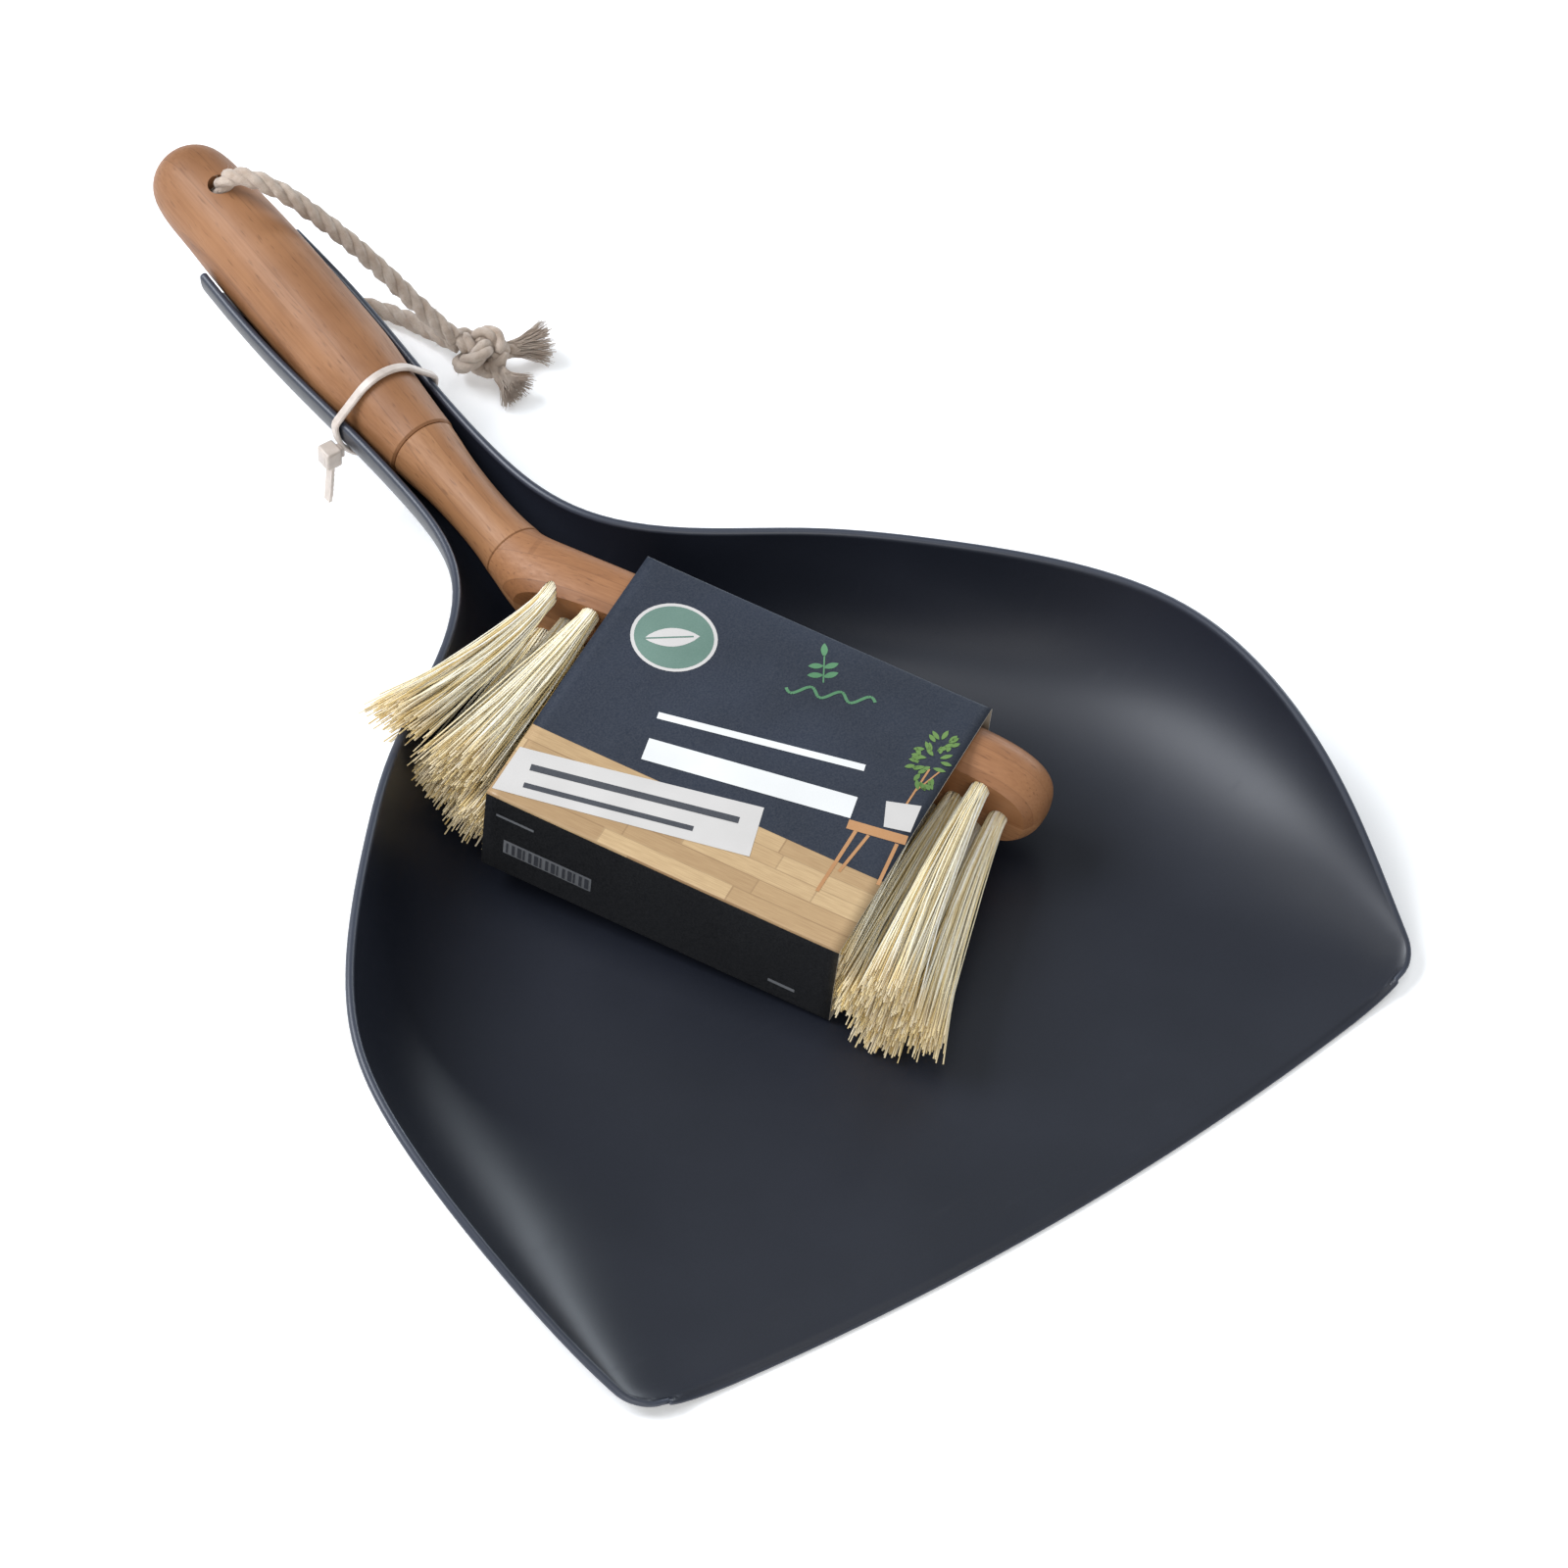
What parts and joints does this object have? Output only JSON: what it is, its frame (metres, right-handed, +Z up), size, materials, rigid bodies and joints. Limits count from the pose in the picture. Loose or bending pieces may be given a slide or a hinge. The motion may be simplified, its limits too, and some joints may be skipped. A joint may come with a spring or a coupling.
{
  "type": "dust pan and brush set",
  "caption": "Dust pan with a hollow handle and a long-handled bench brush tied into it, bristles in a board sleeve, rope loop for hanging",
  "frame": {"origin": "on the table plane under the flat bottom of the pan, in the middle of its width, 100 mm behind the middle of the front lip", "axes": "+Z up; +Y along the pan from its mouth to its handle; +X to the side the brush head bends to"},
  "size_m": [0.2538, 0.3758, 0.06],
  "materials": {
    "pan_plastic": "satin moulded plastic, dark blue grey",
    "bamboo_grip": "turned laminated bamboo, clear satin lacquer",
    "bamboo_neck": "turned laminated bamboo, clear satin lacquer",
    "bamboo_head": "shaped laminated bamboo, clear satin lacquer",
    "beech_dowel": "plain dowel, glued in",
    "fibre": "cream plant fibre with tan strands, cut ends",
    "wire": "flattened steel wire",
    "rope": "twisted natural cord, three strands",
    "nylon_tie": "natural translucent nylon",
    "sleeve_board": "printed carton board, satin varnish outside, grey board inside"
  },
  "bodies": {
    "pan": {"pan_shell": "pan_plastic", "cable_tie": "nylon_tie"},
    "brush": {"handle_grip": "bamboo_grip", "handle_neck": "bamboo_neck", "grip_dowel": "beech_dowel", "neck_dowel": "beech_dowel", "brush_head": "bamboo_head", "bristles_top_row": "fibre", "bristles_middle_row": "fibre", "bristles_bottom_row": "fibre", "tuft_anchors": "wire"},
    "sleeve": {"sleeve": "sleeve_board"},
    "hang_loop": {"hang_rope_upper": "rope", "hang_rope_lower": "rope", "rope_knot": "rope", "rope_tails": "rope"}
  },
  "joints": [
    {"name": "brush_lift", "type": "slide", "parent": "pan", "child": "brush", "axis": [0, 0, 1], "range_m": [0, 0.15], "deforming": ["cable_tie"]},
    {"name": "sleeve_slide", "type": "slide", "parent": "brush", "child": "sleeve", "axis": [0.4571, -0.8863, -0.0744], "range_m": [0, 0.13]},
    {"name": "loop_swing", "type": "hinge", "parent": "brush", "child": "hang_loop", "pos_m": [0, 0.25385, 0.03998], "axis": [0, -0.0837, 0.9965], "range_deg": [0, 60]}
  ],
  "couplings": [
    {"joint": "sleeve_slide", "follows": "brush_lift", "ratio": 0.8667}
  ]
}
